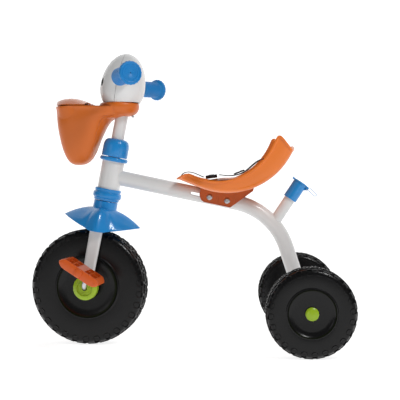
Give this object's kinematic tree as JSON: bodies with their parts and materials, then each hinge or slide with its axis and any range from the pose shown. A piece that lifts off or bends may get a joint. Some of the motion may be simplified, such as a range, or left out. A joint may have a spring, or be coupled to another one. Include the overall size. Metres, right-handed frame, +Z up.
{
  "type": "children's tricycle",
  "caption": "Children's tricycle with a bent tube frame, pedal-driven front wheel, sliding bucket seat, lidded beak basket under a bird-shaped head, and a push-handle socket.",
  "frame": {"origin": "on the floor, in the middle of the tricycle's length and width", "axes": "+X from the front to the rear, +Y to the rider's right, +Z up"},
  "size_m": [0.7072, 0.4452, 0.6482],
  "materials": {
    "frame_white": "powder coat, gloss white",
    "steel": "zinc-plated",
    "wheel_black": "moulded black",
    "blue_plastic": "semi-gloss blue",
    "blue_grip": "soft blue",
    "seat_orange": "semi-gloss orange",
    "deep_orange": "semi-gloss deep orange",
    "pedal_orange": "semi-gloss orange",
    "lime_plastic": "semi-gloss lime",
    "head_white": "gloss white",
    "black_plastic": "gloss black",
    "button_grey": "light grey",
    "bush_plastic": "natural black nylon",
    "webbing": "woven black webbing"
  },
  "bodies": {
    "frame": {"head_tube": "frame_white", "upper_head_bush": "blue_plastic", "lower_head_bush": "blue_plastic", "main_tube": "frame_white", "cross_tube": "frame_white", "rear_axle": "steel", "axle_push_nuts": "steel", "socket_tube": "frame_white", "socket_sleeve": "blue_plastic", "socket_hinge_pin": "steel", "socket_tether": "blue_plastic", "cross_tube_plug_left": "bush_plastic", "cross_tube_plug_right": "bush_plastic"},
    "steering": {"steerer": "frame_white", "fork_crown": "frame_white", "fender": "blue_plastic", "column_cover": "blue_plastic", "handlebar": "frame_white", "head_front": "head_white", "head_rear": "head_white", "eyes": "black_plastic", "basket": "deep_orange", "lid_hinge_pin": "steel", "basket_screw": "steel", "fork_leg_left": "frame_white", "fork_leg_right": "frame_white", "fork_bush_left": "bush_plastic", "fork_bush_right": "bush_plastic", "hub_cover_left": "lime_plastic", "hub_cover_right": "lime_plastic", "grip_left": "blue_grip", "grip_right": "blue_grip"},
    "front_wheel": {"front_wheel": "wheel_black", "wheel_spacers": "bush_plastic", "crank_axle": "steel", "pedal_nut_left": "pedal_orange", "pedal_nut_right": "pedal_orange"},
    "pedal_left": {"pedal_left": "pedal_orange"},
    "pedal_right": {"pedal_right": "pedal_orange"},
    "rear_wheel_left": {"rear_wheel_left": "wheel_black", "wheel_bushes_left": "bush_plastic", "rear_cap_left": "lime_plastic"},
    "rear_wheel_right": {"rear_wheel_right": "wheel_black", "wheel_bushes_right": "bush_plastic", "rear_cap_right": "lime_plastic"},
    "seat": {"seat_shell": "seat_orange", "seat_bracket": "deep_orange", "seat_bolts": "steel", "seat_nuts": "steel", "crotch_strap": "webbing", "buckle_body": "black_plastic", "lap_strap_left": "webbing", "lap_strap_right": "webbing", "strap_adjuster_left": "black_plastic", "strap_adjuster_right": "black_plastic"},
    "buckle_button": {"buckle_button": "button_grey"},
    "basket_lid": {"basket_lid": "deep_orange"},
    "socket_lid": {"socket_lid": "blue_plastic"}
  },
  "joints": [
    {"name": "steering_turn", "type": "hinge", "parent": "frame", "child": "steering", "pos_m": [-0.22335, 0, 0.12931], "axis": [0.1857, 0, 0.9826], "range_deg": [-35, 45]},
    {"name": "front_wheel_spin", "type": "hinge", "parent": "steering", "child": "front_wheel", "pos_m": [-0.22335, 0, 0.12931], "axis": [0.0856, 0.9962, -0.0162], "continuous": true},
    {"name": "pedal_left_spin", "type": "hinge", "parent": "front_wheel", "child": "pedal_left", "pos_m": [-0.22626, -0.12452, 0.1726], "axis": [0.0856, 0.9962, -0.0162], "continuous": true},
    {"name": "pedal_right_spin", "type": "hinge", "parent": "front_wheel", "child": "pedal_right", "pos_m": [-0.22044, 0.12452, 0.08602], "axis": [0.0856, 0.9962, -0.0162], "continuous": true},
    {"name": "rear_wheel_left_spin", "type": "hinge", "parent": "frame", "child": "rear_wheel_left", "pos_m": [0.25865, -0.19, 0.095], "axis": [0, 1, 0], "continuous": true},
    {"name": "rear_wheel_right_spin", "type": "hinge", "parent": "frame", "child": "rear_wheel_right", "pos_m": [0.25865, 0.19, 0.095], "axis": [0, 1, 0], "continuous": true},
    {"name": "seat_slide", "type": "slide", "parent": "frame", "child": "seat", "axis": [-0.9785, 0, 0.2062], "range_m": [0, 0.04]},
    {"name": "buckle_press", "type": "slide", "parent": "seat", "child": "buckle_button", "axis": [0.1236, 0, -0.9923], "range_m": [0, 0.002], "stiffness_N_per_m": 400},
    {"name": "basket_lid_hinge", "type": "hinge", "parent": "steering", "child": "basket_lid", "pos_m": [-0.22058, 0.00638, 0.53676], "axis": [0.0856, 0.9962, -0.0162], "range_deg": [0, 80]},
    {"name": "socket_lid_hinge", "type": "hinge", "parent": "frame", "child": "socket_lid", "pos_m": [0.26453, 0, 0.34744], "axis": [0, 1, 0], "range_deg": [0, 110], "deforming": ["socket_tether"]}
  ]
}
